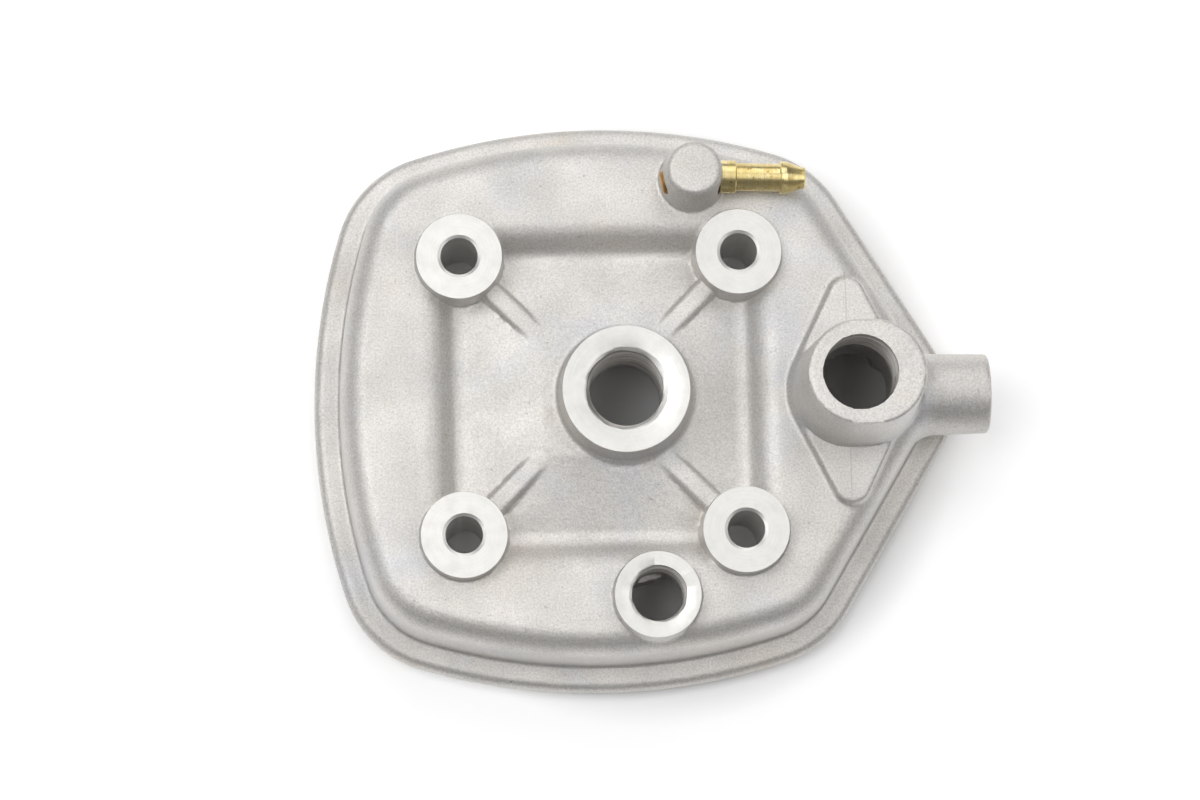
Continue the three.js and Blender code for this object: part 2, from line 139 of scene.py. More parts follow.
OUTLET_CAVITY_TOP = 20.8
OUTLET_CAVITY_ROUND = 1.0
OUTLET_THREAD_LOW = 30
SPIGOT_Z = 12.8
SPIGOT_ROOT_RADIUS = 7.45
SPIGOT_END_RADIUS = 6.86
SPIGOT_END_X = 67.35
SPIGOT_BORE_RADIUS = 4.6
SPIGOT_EDGE_ROUND = 0.7
SPIGOT_FOOT_FILLET = 2.2

BLEED = (16.4, 37.2)
BLEED_BOSS_TOP = 31
BLEED_BOSS_TOP_RADIUS = 4.7
BLEED_BOSS_FOOT_RADIUS = 5.6
BLEED_BOSS_EDGE_ROUND = 1.0
BLEED_RISER_RADIUS = 1.5
BLEED_DRILLING_RADIUS = 2
BLEED_COUNTERBORE_START = 4.4
BLEED_COUNTERBORE_RADIUS = 3.0
NIPPLE_Z = 24
NIPPLE_YAW = math.radians(-2.1)
NIPPLE_TIP = 19.4
NIPPLE_BORE_RADIUS = 1.1
NIPPLE_SHANK_RADIUS = 1.7
NIPPLE_NECK_RADIUS = 2.38
NIPPLE_COLLAR_RADIUS = 2.82
BLEED_PLUG_YAW = math.radians(192)
BLEED_PLUG_LENGTH = 3

BORE_RADIUS = 26
SQUISH_RISE = 1.2
SQUISH_EDGE_SHARE = 0.4  # of the rise, at the bore's edge
CHAMBER_RADIUS = 19
CHAMBER_ROOF = 13
CHAMBER_LIP_ROUND = 0.5
CHAMBER_SEAL_RADIUS = 28.6
INNER_LAND_RADIUS = 32
JACKET_INSET = 10.5
JACKET_ROOF = 14.5
JACKET_CORNER_ROUND = 1.5
JACKET_ROOF_ROUND = 2.5
STUD_PILLAR_RADIUS = 7.2
JACKET_SEAL_INSET = 5.6
SEAL_SECTION = 1.8
FIT_GAP = 0.3  # room round a seal in its groove
GROOVE_FLOOR_ROUND = 0.2
SEAL_CLEARANCE = 0.05  # how much less a moulded seal's half section is
FLASH_WIDTH = 0.12
SECTION_SQUARENESS = 0.7  # 1 is round and 0 is square
DRILL_OVERLAP = 1  # how far a drilling goes into the jacket

SEAT_DEPTH = 0.35  # how far a turned seat stands on its cast boss
SLEEVE_WALL = 0.35  # wall of a turned hole's own piece
EDGE_BREAK = 0.05
CHAMFER_SLOPE = 0.4  # depth of a chamfer over its width
THREAD_DEPTH = 0.54  # and the flat of crests and roots, as shares of the pitch
THREAD_FLAT = 0.12
LINING_MARGIN = 0.1  # beyond a hole's wall, for the faces that take its finish

# ------------------------------------------------------------------ fineness of the meshes
CASTING_STEP = 0.5
GRID_MARGIN = 1.37  # mm beyond the casting's box
GRADIENT_REACH = 0.02
MEAN_PULL = 0.03  # of a cell's point towards the mean of its crossings
CELL_REACH = 0.6  # of a cell's point from its middle, in cells
KEPT_FACES = 0.44  # share of the casting's faces that is kept
SEAT_COLUMNS = 128
NIPPLE_COLUMNS = 96
BLEED_PLUG_COLUMNS = 48
RING_COLUMNS = 192
THREAD_ROWS = 12  # to each pitch
THREAD_COLUMNS = 96
RING_SIDES = 20
JACKET_SEAL_SIDES = 16
LOOP_POINTS = 360
LOOP_STEPS = 40
CAST_SHARP_ANGLE = 38
SEAT_SHARP_ANGLE = 20
THREAD_SHARP_ANGLE = 25
BRASS_SHARP_ANGLE = 30
RING_SHARP_ANGLE = 35
JACKET_SEAL_SHARP_ANGLE = 60

# ------------------------------------------------------------------ floor, light and camera values
# The floor and the lights are in metres. The camera's lens, sensor and place are in
# millimetres, its place in the head's frame, and its turn is in degrees.
FLOOR_REACH = 3.0
FLOOR_GAP = 0.00005
GLOW_START = 0.048
GLOW_FULL = 0.056
GLOW_STRENGTH = 0.26
LIGHT_DISTANCE = 1.2
LIGHT_TARGET = (0, 0, 0.01)
WORLD_STRENGTH = 0.16
CAMERA_LENS = 118.25
CAMERA_SENSOR = 36
CAMERA_CLIP_END = 20
CAMERA_PLACE = (-22.702, -96.221, 689.397)
CAMERA_TURN = (8.1476, -1.7251, -1.3466)

# Indices of a mix node's factor, its two colours and its resulting colour.
MIX_FACTOR = 0
MIX_COLOUR_A = 6
MIX_COLOUR_B = 7
MIX_COLOUR = 2

low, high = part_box("head_casting")
STUD_CENTRE_X = high.x / MM - SPIGOT_END_X
STUDS = [(sx * STUD_PITCH / 2, sy * STUD_PITCH / 2) for sx in (-1, 1) for sy in (-1, 1)]


def to_metres(points):
    """Head-frame millimetres to metres in the CAD frame."""
    return (np.asarray(points, float) + (STUD_CENTRE_X, 0, 0)) * MM


# ------------------------------------------------------------------ mesh helpers
def add_mesh(name, points, faces, sharp_angle):
    """A smooth-shaded mesh object from head-frame points, creased where it turns sharply."""
    mesh = bpy.data.meshes.new(name)
    faces = np.asarray(faces, np.int32)
    sides = faces.shape[1]
    mesh.vertices.add(len(points))
    mesh.vertices.foreach_set("co", to_metres(points).astype(np.float32).ravel())
    mesh.loops.add(faces.size)
    mesh.loops.foreach_set("vertex_index", faces.ravel())
    mesh.polygons.add(len(faces))
    mesh.polygons.foreach_set("loop_start", np.arange(0, faces.size, sides, dtype=np.int32))
    mesh.update(calc_edges=True)
    mesh.validate()
    mesh.polygons.foreach_set("use_smooth", np.ones(len(mesh.polygons), bool))
    mesh.set_sharp_from_angle(angle=math.radians(sharp_angle))
    piece = bpy.data.objects.new(name, mesh)
    bpy.context.scene.collection.objects.link(piece)
    return piece


def add_turned(name, radius, height, place, material, sharp_angle):
    """A closed piece from a grid of profile rows by turn columns, the last column falling on
    the first. Its UVs are the turn and the length along the profile, in millimetres."""
    radius, height = np.broadcast_arrays(radius, height)
    rows, columns = radius.shape
    turn = TAU * np.arange(columns) / (columns - 1)
    local = np.stack([radius * np.cos(turn), radius * np.sin(turn), height], -1)
    i, j = np.meshgrid(np.arange(rows), np.arange(columns - 1), indexing="ij")
    i, j = i.ravel(), j.ravel()
    after = (i + 1) % rows
    faces = np.stack([after, i, i, after]) * columns + np.stack([j, j, j + 1, j + 1])
    piece = add_mesh(name, place(local.reshape(-1, 3)), faces.T, sharp_angle)
    steps = np.hypot(np.diff(radius[:, 0], prepend=radius[-1, 0]), np.diff(height[:, 0], prepend=0))
    run = np.append(np.cumsum(steps), 0)
    run[-1] = run[-2]
    across = np.stack([j, j, j + 1, j + 1]) / (columns - 1) * TAU * radius.mean()
    along = np.stack([run[i + 1], run[i], run[i], run[i + 1]])
    layer = piece.data.uv_layers.new(name="turning")
    layer.data.foreach_set("uv", np.stack([across.T.ravel(), along.T.ravel()], 1).ravel())
    shell = bmesh.new()
    shell.from_mesh(piece.data)
    bmesh.ops.remove_doubles(shell, verts=shell.verts, dist=WELD)
    bmesh.ops.dissolve_degenerate(shell, edges=shell.edges, dist=WELD)
    bmesh.ops.recalc_face_normals(shell, faces=shell.faces)
    shell.to_mesh(piece.data)
    shell.free()
    piece.data.set_sharp_from_angle(angle=math.radians(sharp_angle))
    piece.data.materials.append(material)
    return piece


def upright(centre):
    """Places a piece turned about its own Z upright on that centre."""
    return lambda points: points + (centre[0], centre[1], 0)


def profile_grid(profile, segments):
    """The radii and heights of add_turned for one (radius, height) profile all round."""
    profile = np.asarray(profile, float)
    shape = (len(profile), segments + 1)
    return np.broadcast_to(profile[:, :1], shape), np.broadcast_to(profile[:, 1:], shape)


# ------------------------------------------------------------------ distance-field shapes
def meet(a, b, radius=0.0):
    """Where both shapes are solid, with the edge between their skins rounded."""
    return np.minimum(-radius, np.maximum(a, b)) + np.hypot(
        np.maximum(radius + a, 0), np.maximum(radius + b, 0)
    )


def join(a, b, radius):
    """Either shape, with a cast fillet of that radius between their skins."""
    return np.maximum(radius, np.minimum(a, b)) - np.hypot(
        np.maximum(radius - a, 0), np.maximum(radius - b, 0)
    )


def cut(a, b, radius):
    return meet(a, -b, radius)


class Outline:
    """Signed distance to the head's outline: three bowed sides and a pointed nose, all
    joined by tangent corner arcs, mirrored across the X axis."""

    def __init__(self):
        spread = SIDE_BOW_RADIUS - HALF_WIDTH
        reach = SIDE_BOW_RADIUS - CORNER_RADIUS
        self.side_centre = np.array([0, -spread])
        self.end_centre = np.array([spread, 0])
        self.normal = np.array([math.cos(NOSE_NORMAL_ANGLE), math.sin(NOSE_NORMAL_ANGLE)])
        along = np.array([-self.normal[1], self.normal[0]])
        self.nose_distance = NOSE_APEX_X * self.normal[0]
        foot = self.normal * (self.nose_distance - CORNER_RADIUS)
        to_foot = foot - self.side_centre
        half = to_foot @ along
        nose_corner = foot + along * (math.sqrt(half**2 - to_foot @ to_foot + reach**2) - half)
        diagonal = (math.sqrt(2 * reach**2 - spread**2) - spread) / 2
        far_corner = np.array([-diagonal, diagonal])
        tip = np.array([NOSE_APEX_X - NOSE_TIP_RADIUS / self.normal[0], 0])
        nose_end = self.turn(nose_corner, self.side_centre)
        side_end = self.turn(far_corner, self.side_centre)
        bow_end = self.turn(far_corner, self.end_centre)
        before_tip = -0.1  # any angle below 0, because y is never negative here
        self.corners = [
            (tip, NOSE_TIP_RADIUS, before_tip, NOSE_NORMAL_ANGLE),
            (nose_corner, CORNER_RADIUS, NOSE_NORMAL_ANGLE, nose_end),
            (far_corner, CORNER_RADIUS, side_end, bow_end),
        ]

    @staticmethod
    def turn(point, centre):
        """The angle at which point lies from centre."""
        return math.atan2(point[1] - centre[1], point[0] - centre[0])

    def __call__(self, x, y):
        y = np.abs(y)
        side = np.hypot(x - self.side_centre[0], y - self.side_centre[1]) - SIDE_BOW_RADIUS
        end = np.hypot(x - self.end_centre[0], y) - SIDE_BOW_RADIUS
        end = np.where(x < self.end_centre[0], end, -HALF_WIDTH)
        nose = x * self.normal[0] + y * self.normal[1] - self.nose_distance
        distance = np.maximum(np.maximum(side, end), nose)
        for centre, radius, start, stop in self.corners:
            away_x, away_y = x - centre[0], y - centre[1]
            turn = np.arctan2(away_y, away_x)
            inside = (turn > start) & (turn < stop)
            distance = np.where(inside, np.hypot(away_x, away_y) - radius, distance)
        return distance


outline = Outline()


def round_square(x, y, half, radius):
    """Distance to a square of that half side with rounded corners."""
    over_x = np.abs(x) - half + radius
    over_y = np.abs(y) - half + radius
    outside = np.hypot(np.maximum(over_x, 0), np.maximum(over_y, 0))
    return outside + np.minimum(np.maximum(over_x, over_y), 0) - radius


def lozenge(x, y):
    """Distance to the convex hull of the waist circle and the two tip circles of the pad."""
    away_x, away_y = np.abs(x - PAD_X), np.abs(y)
    sine = (PAD_WAIST_RADIUS - PAD_TIP_RADIUS) / PAD_TIP_OFFSET
    cosine = math.sqrt(1 - sine**2)
    along = away_y * cosine - away_x * sine
    waist = np.hypot(away_x, away_y) - PAD_WAIST_RADIUS
    tip = np.hypot(away_x, away_y - PAD_TIP_OFFSET) - PAD_TIP_RADIUS
    side = away_x * cosine + away_y * sine - PAD_WAIST_RADIUS
    return np.where(along < 0, waist, np.where(along > cosine * PAD_TIP_OFFSET, tip, side))


def s_curve(t, run_in, run_out, rise):
    """0 to 1 across a tangent pair of arcs: a concave one from t = -run_in to 0 and a convex
    one from 0 to run_out, for a step of about that rise."""
    run = run_in + run_out
    slope = 2 * math.atan(rise / run)
    total = run / math.sin(slope)
    inner = total * run_in / run
    outer = total - inner
    below = np.clip(t + run_in, 0, run_in)
    above = np.clip(run_out - t, 0, run_out)
    low_part = inner - np.sqrt(inner**2 - below**2)
    high_part = rise - outer + np.sqrt(outer**2 - above**2)
    return np.where(t < 0, low_part, high_part) / rise


def top_height(x, y):
    """Height of the dome's top: level all round, with the square recess in it, whose floor
    falls evenly from the spark plug to the foot of the recess's wall."""
    reach = np.minimum((x**4 + y**4) ** 0.25, FLOOR_HALF_SIDE + RECESS_FILLET_RUN)
    rise = DOME_TOP - FLOOR_EDGE_TOP
    slope = (FLOOR_CENTRE_TOP - FLOOR_EDGE_TOP) / (FLOOR_HALF_SIDE - FLOOR_CROWN_REACH)
    floor = FLOOR_CENTRE_TOP - slope * np.maximum(reach - FLOOR_CROWN_REACH, 0)
    edge = round_square(x, y, RECESS_HALF_SIDE, RECESS_CORNER_RADIUS)
    lift = s_curve(edge, RECESS_FILLET_RUN, RECESS_EDGE_RUN, rise)
    return floor + (DOME_TOP - floor) * lift


def from_cylinder(x, y, centre, radius):
    """Distance outside an upright cylinder without ends."""
    return np.hypot(x - centre[0], y - centre[1]) - radius


def round_boss(x, y, z, centre, radius, top, draft, edge=0.0):
    side = from_cylinder(x, y, centre, radius) - draft * (top - z)
    return meet(side, z - top, edge)


def rib(x, y, z, stud):
    """A flat-backed rib from a stud boss to its rounded end, level while the floor rises."""
    reach = math.hypot(*stud)
    along = (x * stud[0] + y * stud[1]) / reach
    across = (x * stud[1] - y * stud[0]) / reach
    short = np.maximum(RIB_INNER_END + RIB_HALF_WIDTH - along, 0)
    side = np.hypot(across, short) - RIB_HALF_WIDTH - RIB_DRAFT * (RIB_TOP - z)
    bar = meet(side, z - RIB_TOP, RIB_CREST_ROUND)
    return np.maximum(bar, along - reach)


def spigot(x, y, z):
    """The hose spigot: a level, slightly tapered stub that leaves the nose under the tower."""
    run = (x - PAD_X) / (SPIGOT_END_X - PAD_X)
    radius = SPIGOT_ROOT_RADIUS + (SPIGOT_END_RADIUS - SPIGOT_ROOT_RADIUS) * run
    side = np.hypot(y, z - SPIGOT_Z) - radius
    return meet(meet(side, x - SPIGOT_END_X, SPIGOT_EDGE_ROUND), PAD_X - x)


def from_tower_axis(x, y):
    """Distance from the tower's upright axis, which is stretched a little towards the nose."""
    return np.hypot(x - PAD_X - np.clip(x - PAD_X, 0, TOWER_OVAL_SHIFT), y)


def tower(x, y, z):
    taper = (TOWER_FOOT_RADIUS - TOWER_TOP_RADIUS) / (TOWER_TOP - PAD_TOP)
    side = from_tower_axis(x, y) - TOWER_TOP_RADIUS - taper * (TOWER_TOP - z)
    return meet(meet(side, z - TOWER_TOP, TOWER_EDGE_ROUND), DOME_TOP - TOWER_BURIED - z)


def bleed_axes(x, y, yaw):
    """Distance out of the bleed boss along a level axis at that yaw, and distance beside it."""
    away_x, away_y = x - BLEED[0], y - BLEED[1]
    along = away_x * math.cos(yaw) + away_y * math.sin(yaw)
    return along, away_y * math.cos(yaw) - away_x * math.sin(yaw)


def outer_skin(x, y, z):
    """The casting without its holes: flange, dome with its recess, ribs, bosses and outlet."""
    edge = outline(x, y)
    flange = meet(edge, z - FLANGE_THICKNESS, FLANGE_EDGE_ROUND)
    wall = edge + RIM_WIDTH + DOME_DRAFT * (z - FLANGE_THICKNESS)
    dome = meet(wall, (z - top_height(x, y)) * TOP_DISTANCE_SCALE, DOME_EDGE_ROUND)
    for stud in STUDS:
        dome = join(dome, rib(x, y, z, stud), RIB_FOOT_FILLET)
    stud_boss = (STUD_BOSS_RADIUS, STUD_BOSS_TOP, STUD_BOSS_DRAFT, BOSS_FOOT_FILLET)
    bosses = [(stud, *stud_boss) for stud in STUDS] + [
        (PLUG, PLUG_BOSS_RADIUS, PLUG_BOSS_TOP, PLUG_BOSS_DRAFT, PLUG_FOOT_FILLET),
        (SENSOR, SENSOR_BOSS_RADIUS, SENSOR_BOSS_TOP, STUD_BOSS_DRAFT, BOSS_FOOT_FILLET),
    ]
    for centre, radius, top, draft, fillet in bosses:
        boss = round_boss(x, y, z, centre, radius, top - SEAT_DEPTH, draft)
        dome = join(dome, boss, fillet)
    pad = meet(lozenge(x, y), z - PAD_TOP, PAD_EDGE_ROUND)
    dome = join(dome, np.maximum(pad, DOME_TOP - PAD_BURIED - z), PAD_FOOT_FILLET)
    dome = join(dome, tower(x, y, z), TOWER_FOOT_FILLET)
    taper = (BLEED_BOSS_FOOT_RADIUS - BLEED_BOSS_TOP_RADIUS) / (BLEED_BOSS_TOP - DOME_TOP)
    bleed_size = (BLEED_BOSS_TOP_RADIUS, BLEED_BOSS_TOP, taper, BLEED_BOSS_EDGE_ROUND)
    dome = join(dome, round_boss(x, y, z, BLEED, *bleed_size), BOSS_FOOT_FILLET)
    body = join(flange, dome, RIM_CREASE_ROUND)
    return join(body, spigot(x, y, z), SPIGOT_FOOT_FILLET)


def water_jacket(x, y, z):
    """The room for water round the chamber, with a pillar left in it for each stud."""
    land = np.hypot(x, y) - INNER_LAND_RADIUS
    pillars = np.minimum.reduce([from_cylinder(x, y, stud, STUD_PILLAR_RADIUS) for stud in STUDS])
    plan = cut(outline(x, y) + JACKET_INSET, land, JACKET_CORNER_ROUND)
    plan = cut(plan, pillars, JACKET_CORNER_ROUND)
    return meet(plan, z - JACKET_ROOF, JACKET_ROOF_ROUND)


def combustion_chamber(x, y, z):
    """A squish band that rises inwards from the bore, and a bowl under the spark plug."""
    radius = np.hypot(x, y)
    rise = SQUISH_RISE * np.clip(1 + SQUISH_EDGE_SHARE - radius / BORE_RADIUS, 0, 1)
    squish = meet(radius - BORE_RADIUS, z - rise)
    bowl_x = (x - PLUG_X) / CHAMBER_RADIUS
    bowl = np.sqrt(bowl_x**2 + (y / CHAMBER_RADIUS) ** 2 + (z / CHAMBER_ROOF) ** 2) - 1
    return join(squish, bowl * CHAMBER_ROOF, CHAMBER_LIP_ROUND)


def seal_groove(z, beside):
    """A groove in the sealing face, at that distance beside its centre line."""
    half = SEAL_SECTION / 2 + FIT_GAP
    return meet(np.abs(beside) - half, z - SEAL_SECTION - FIT_GAP, GROOVE_FLOOR_ROUND)


def drilling(x, y, z, centre, radius, lowest):
    """An upright hole from that height upwards."""
    return np.maximum(from_cylinder(x, y, centre, radius), lowest - z)


def sleeve_radius(minor, pitch):
    """Outside radius of a threaded sleeve, which is a piece of its own in the casting."""
    return minor + THREAD_DEPTH * pitch + SLEEVE_WALL


def outlet_passage(x, y, z):
    """The cavity in the foot of the tower, the tower's threaded mouth and the spigot's bore."""
    side = from_tower_axis(x, y) - OUTLET_CAVITY_RADIUS
    cavity = meet(side, z - OUTLET_CAVITY_TOP, OUTLET_CAVITY_ROUND)
    mouth = drilling(x, y, z, OUTLET, OUTLET_MINOR_RADIUS, JACKET_ROOF)
    bore = np.maximum(np.hypot(y, z - SPIGOT_Z) - SPIGOT_BORE_RADIUS, PAD_X - x)
    sleeve = sleeve_radius(OUTLET_MINOR_RADIUS, PLUG_PITCH)
    thread = drilling(x, y, z, OUTLET, sleeve, OUTLET_THREAD_LOW)
    thread = np.maximum(thread, z - TOWER_TOP + OUTLET_LIP)
    return np.minimum.reduce([cavity, mouth, bore, thread])


def bleed_drillings(x, y, z):
    """The riser out of the jacket, the nipple's drilling and counterbore, and the cross
    drilling that the pressed plug closes."""
    riser = meet(from_cylinder(x, y, BLEED, BLEED_RISER_RADIUS), z - NIPPLE_Z)
    riser = np.maximum(riser, JACKET_ROOF - DRILL_OVERLAP - z)
    along, beside = bleed_axes(x, y, NIPPLE_YAW)
    off_axis = np.hypot(beside, z - NIPPLE_Z)
    level = np.maximum(off_axis - BLEED_DRILLING_RADIUS, -along)
    counterbore = np.maximum(off_axis - BLEED_COUNTERBORE_RADIUS, BLEED_COUNTERBORE_START - along)
    along, beside = bleed_axes(x, y, BLEED_PLUG_YAW)
    cross = np.maximum(np.hypot(beside, z - NIPPLE_Z) - BLEED_DRILLING_RADIUS, -along)
    return np.minimum.reduce([riser, level, counterbore, cross])


def hollows(x, y, z):
    """Everything that is cut or cored out of the casting."""
    plug_sleeve = sleeve_radius(PLUG_MINOR_RADIUS, PLUG_PITCH)
    sensor_sleeve = sleeve_radius(SENSOR_MINOR_RADIUS, SENSOR_PITCH)
    empty = [
        water_jacket(x, y, z),
        combustion_chamber(x, y, z),
        seal_groove(z, np.hypot(x, y) - CHAMBER_SEAL_RADIUS),
        seal_groove(z, outline(x, y) + JACKET_SEAL_INSET),
        outlet_passage(x, y, z),
        bleed_drillings(x, y, z),
        drilling(x, y, z, PLUG, plug_sleeve, PLUG_THREAD_LOW),
        drilling(x, y, z, PLUG, PLUG_MINOR_RADIUS, CHAMBER_ROOF / 2),
        drilling(x, y, z, SENSOR, sensor_sleeve, SENSOR_THREAD_LOW),
        drilling(x, y, z, SENSOR, SENSOR_MINOR_RADIUS, JACKET_ROOF - DRILL_OVERLAP),
    ]
    empty += [from_cylinder(x, y, stud, STUD_HOLE_RADIUS + SLEEVE_WALL) for stud in STUDS]
    whole = np.broadcast(x, y, z).shape
    return np.minimum.reduce([np.broadcast_to(hole, whole) for hole in empty])


def head_field(x, y, z):
    solid = np.maximum(outer_skin(x, y, z), -z)
    return np.maximum(solid, -hollows(x, y, z))


# ------------------------------------------------------------------ field to mesh
def gradient(field, points):
    """Unit gradients of the field at points, by central differences."""
    columns = []
    for axis in range(3):
        shift = np.zeros(3)
        shift[axis] = GRADIENT_REACH
        ahead, behind = points + shift, points - shift
        columns.append(field(*ahead.T) - field(*behind.T))
    slope = np.stack(columns, 1)
    return slope / np.maximum(np.linalg.norm(slope, axis=1, keepdims=True), 1e-9)


def edge_crossings(value, axis):
    """Where the surface crosses the grid edges along that axis, in grid steps, with the four
    cells round each of those edges, and whether the face between them is to be turned over."""
    solid = value < 0
    cells = np.array(value.shape) - 1
    others = [k for k in range(3) if k != axis]
    near = np.take(solid, range(cells[axis]), axis)
    far = np.take(solid, range(1, cells[axis] + 1), axis)
    start = np.argwhere(near != far)
    inner = (start[:, others] > 0).all(1) & (start[:, others] < cells[others]).all(1)
    start = start[inner]
    ahead = np.eye(3, dtype=int)[axis]
    near_value = value[tuple(start.T)]
    far_value = value[tuple((start + ahead).T)]
    place = start + ahead * (near_value / (near_value - far_value))[:, None]
    quad = []
    for back in ((0, 0), (1, 0), (1, 1), (0, 1)):
        cell = start.copy()
        cell[:, others] -= back
        quad.append(np.ravel_multi_index(cell.T, cells))
    return place, np.stack(quad, 1), (near_value < 0) ^ (axis == 1)


def tangent_meeting(points, normals, quads, count):
    """The point of each cell where the tangent planes at its crossings meet, drawn a little
    towards the mean of the crossings, so that it is settled on flats and straight edges."""
    weights = np.bincount(quads.ravel(), minlength=count)

    def total(values):
        return np.bincount(quads.ravel(), np.repeat(values, 4), minlength=count)

    mean = np.stack([total(points[:, k]) for k in range(3)], 1) / weights[:, None]
    height = (normals * points).sum(1)
    matrix = np.zeros((count, 3, 3))
    right = np.zeros((count, 3))
    for a in range(3):
        right[:, a] = total(normals[:, a] * height)
        for b in range(a, 3):
            matrix[:, a, b] = matrix[:, b, a] = total(normals[:, a] * normals[:, b])
    right -= np.einsum("nab,nb->na", matrix, mean)
    matrix += MEAN_PULL * weights[:, None, None] * np.eye(3)
    return mean + np.linalg.solve(matrix, right[..., None])[..., 0]


def contour(field, lowest, highest, step):
    """Dual contouring: one point per grid cell that the surface crosses, placed where the
    tangent planes at its edge crossings meet, so flats stay flat and corners stay sharp."""
    counts = np.ceil((highest - lowest) / step).astype(int) + 1
    axes = [lowest[k] + step * np.arange(counts[k]) for k in range(3)]
    value = field(*np.meshgrid(*axes, indexing="ij", sparse=True))
    crossings = zip(*[edge_crossings(value, axis) for axis in range(3)])
    places, quads, flips = [np.concatenate(part) for part in crossings]
    points = lowest + places * step
    used, quads = np.unique(quads, return_inverse=True)
    quads = quads.reshape(-1, 4)
    vertex = tangent_meeting(points, gradient(field, points), quads, len(used))
    centre = (np.stack(np.unravel_index(used, counts - 1), 1) + 0.5) * step + lowest
    vertex = np.clip(vertex, centre - CELL_REACH * step, centre + CELL_REACH * step)
    quads[flips] = quads[flips][:, ::-1]
    return vertex, quads


def apply_modifiers(piece):
    """Gives the piece the mesh its modifiers make, and drops the modifiers."""
    bpy.context.view_layer.update()
    finished = piece.evaluated_get(bpy.context.evaluated_depsgraph_get())
    mesh = bpy.data.meshes.new_from_object(finished)
    piece.modifiers.clear()
    piece.data = mesh


def casting():
    """The whole cast skin in one mesh, held inside the box of the CAD's casting."""
    lowest = np.array([low.x / MM - STUD_CENTRE_X, low.y / MM, 0]) - GRID_MARGIN
    highest = np.array([high.x / MM - STUD_CENTRE_X, high.y / MM, high.z / MM]) + GRID_MARGIN
    vertex, quads = contour(head_field, lowest, highest, CASTING_STEP)
    vertex = np.clip(vertex, lowest + GRID_MARGIN, highest - GRID_MARGIN)
    piece = add_mesh("casting_skin", vertex, quads, CAST_SHARP_ANGLE)
    piece.modifiers.new("fewer_faces", "DECIMATE").ratio = KEPT_FACES
    apply_modifiers(piece)
    piece.data.set_sharp_from_angle(angle=math.radians(CAST_SHARP_ANGLE))
    normals = piece.modifiers.new("flat_normals", "WEIGHTED_NORMAL")
    normals.keep_sharp = True
    apply_modifiers(piece)
    piece.data.materials.append(blasted)
    return piece


# ------------------------------------------------------------------ materials
class Recipe:
    """A node material under construction. Sockets are passed about as the values they carry."""

    def __init__(self, name):
        self.material = bpy.data.materials.new(name)
        self.material.use_nodes = True
        self.tree = self.material.node_tree
        self.shader = self.tree.nodes["Principled BSDF"]

    def add(self, kind, **settings):
        """Adds a node of that type, with its properties and input values by name."""
        node = self.tree.nodes.new("ShaderNode" + kind)
        for key, value in settings.items():
            if hasattr(node, key):
                setattr(node, key, value)
            else:
                node.inputs[key].default_value = value
        return node

    def link(self, source, target):
        self.tree.links.new(source, target)

    def position(self):
        """Place on the object in millimetres."""
        mapping = self.add("Mapping", Scale=[1 / MM] * 3)
        self.link(self.add("TexCoord").outputs["Object"], mapping.inputs["Vector"])
        return mapping.outputs["Vector"]

    def turning(self, stretch):
        """Place on a turned piece, along its turn and its profile, in millimetres."""
        mapping = self.add("Mapping", Scale=stretch)
        self.link(self.add("UVMap", uv_map="turning").outputs["UV"], mapping.inputs["Vector"])
        return mapping.outputs["Vector"]

    def noise(self, where, size, detail=2.0, roughness=0.5):
        """Noise whose blobs are about that many millimetres apart."""
        node = self.add("TexNoise", Scale=1 / size, Detail=detail, Roughness=roughness)
        self.link(where, node.inputs["Vector"])
        return node.outputs["Fac"]

    def pointiness(self):
        """0.5 on flats, more on outward edges and less in creases."""
        return self.add("NewGeometry").outputs["Pointiness"]

    def remap(self, value, from_low, from_high, to_low, to_high):
        node = self.add("MapRange")
        for socket, number in zip(list(node.inputs)[1:5], (from_low, from_high, to_low, to_high)):
            socket.default_value = number
        self.link(value, node.inputs["Value"])
        return node.outputs["Result"]

    def ramp(self, value, low_end, high_end):
        """A colour for value out of two (value, colour) ends."""
        node = self.add("ValToRGB")
        for stop, (place, colour) in zip(node.color_ramp.elements, (low_end, high_end)):
            stop.position = place
            stop.color = (*colour, 1)
        self.link(value, node.inputs["Fac"])
        return node.outputs["Color"]

    def tint(self, colour, hue, value, start, full, share, blend="MIX"):
        """Mixes hue into the colour, from none of it where value is start to that share of it
        where value is full."""
        node = self.add("Mix", data_type="RGBA", blend_type=blend)
        self.link(self.remap(value, start, full, 0, share), node.inputs[MIX_FACTOR])
        self.link(colour, node.inputs[MIX_COLOUR_A])
        node.inputs[MIX_COLOUR_B].default_value = (*hue, 1)
        return node.outputs[MIX_COLOUR]

    def calculate(self, operation, a, b=None):
        """A maths node on the socket a and on b, which is a socket, a number or nothing."""
        node = self.add("Math", operation=operation)
        self.link(a, node.inputs[0])
        if isinstance(b, bpy.types.NodeSocket):
            self.link(b, node.inputs[1])
        elif b is not None:
            node.inputs[1].default_value = b
        return node.outputs[0]

    def bump(self, height, depth):
        """Raises the surface by depth millimetres where height is 1; bumps stack in order."""
        node = self.add("Bump", Distance=depth * MM, Strength=1)
        self.link(height, node.inputs["Height"])
        normal = self.shader.inputs["Normal"]
        if normal.is_linked:
            self.link(normal.links[0].from_socket, node.inputs["Normal"])
        self.link(node.outputs["Normal"], normal)

    def finish(self, colour, roughness, metallic=0):
        self.link(colour, self.shader.inputs["Base Color"])
        self.link(roughness, self.shader.inputs["Roughness"])
        self.shader.inputs["Metallic"].default_value = metallic
        return self.material


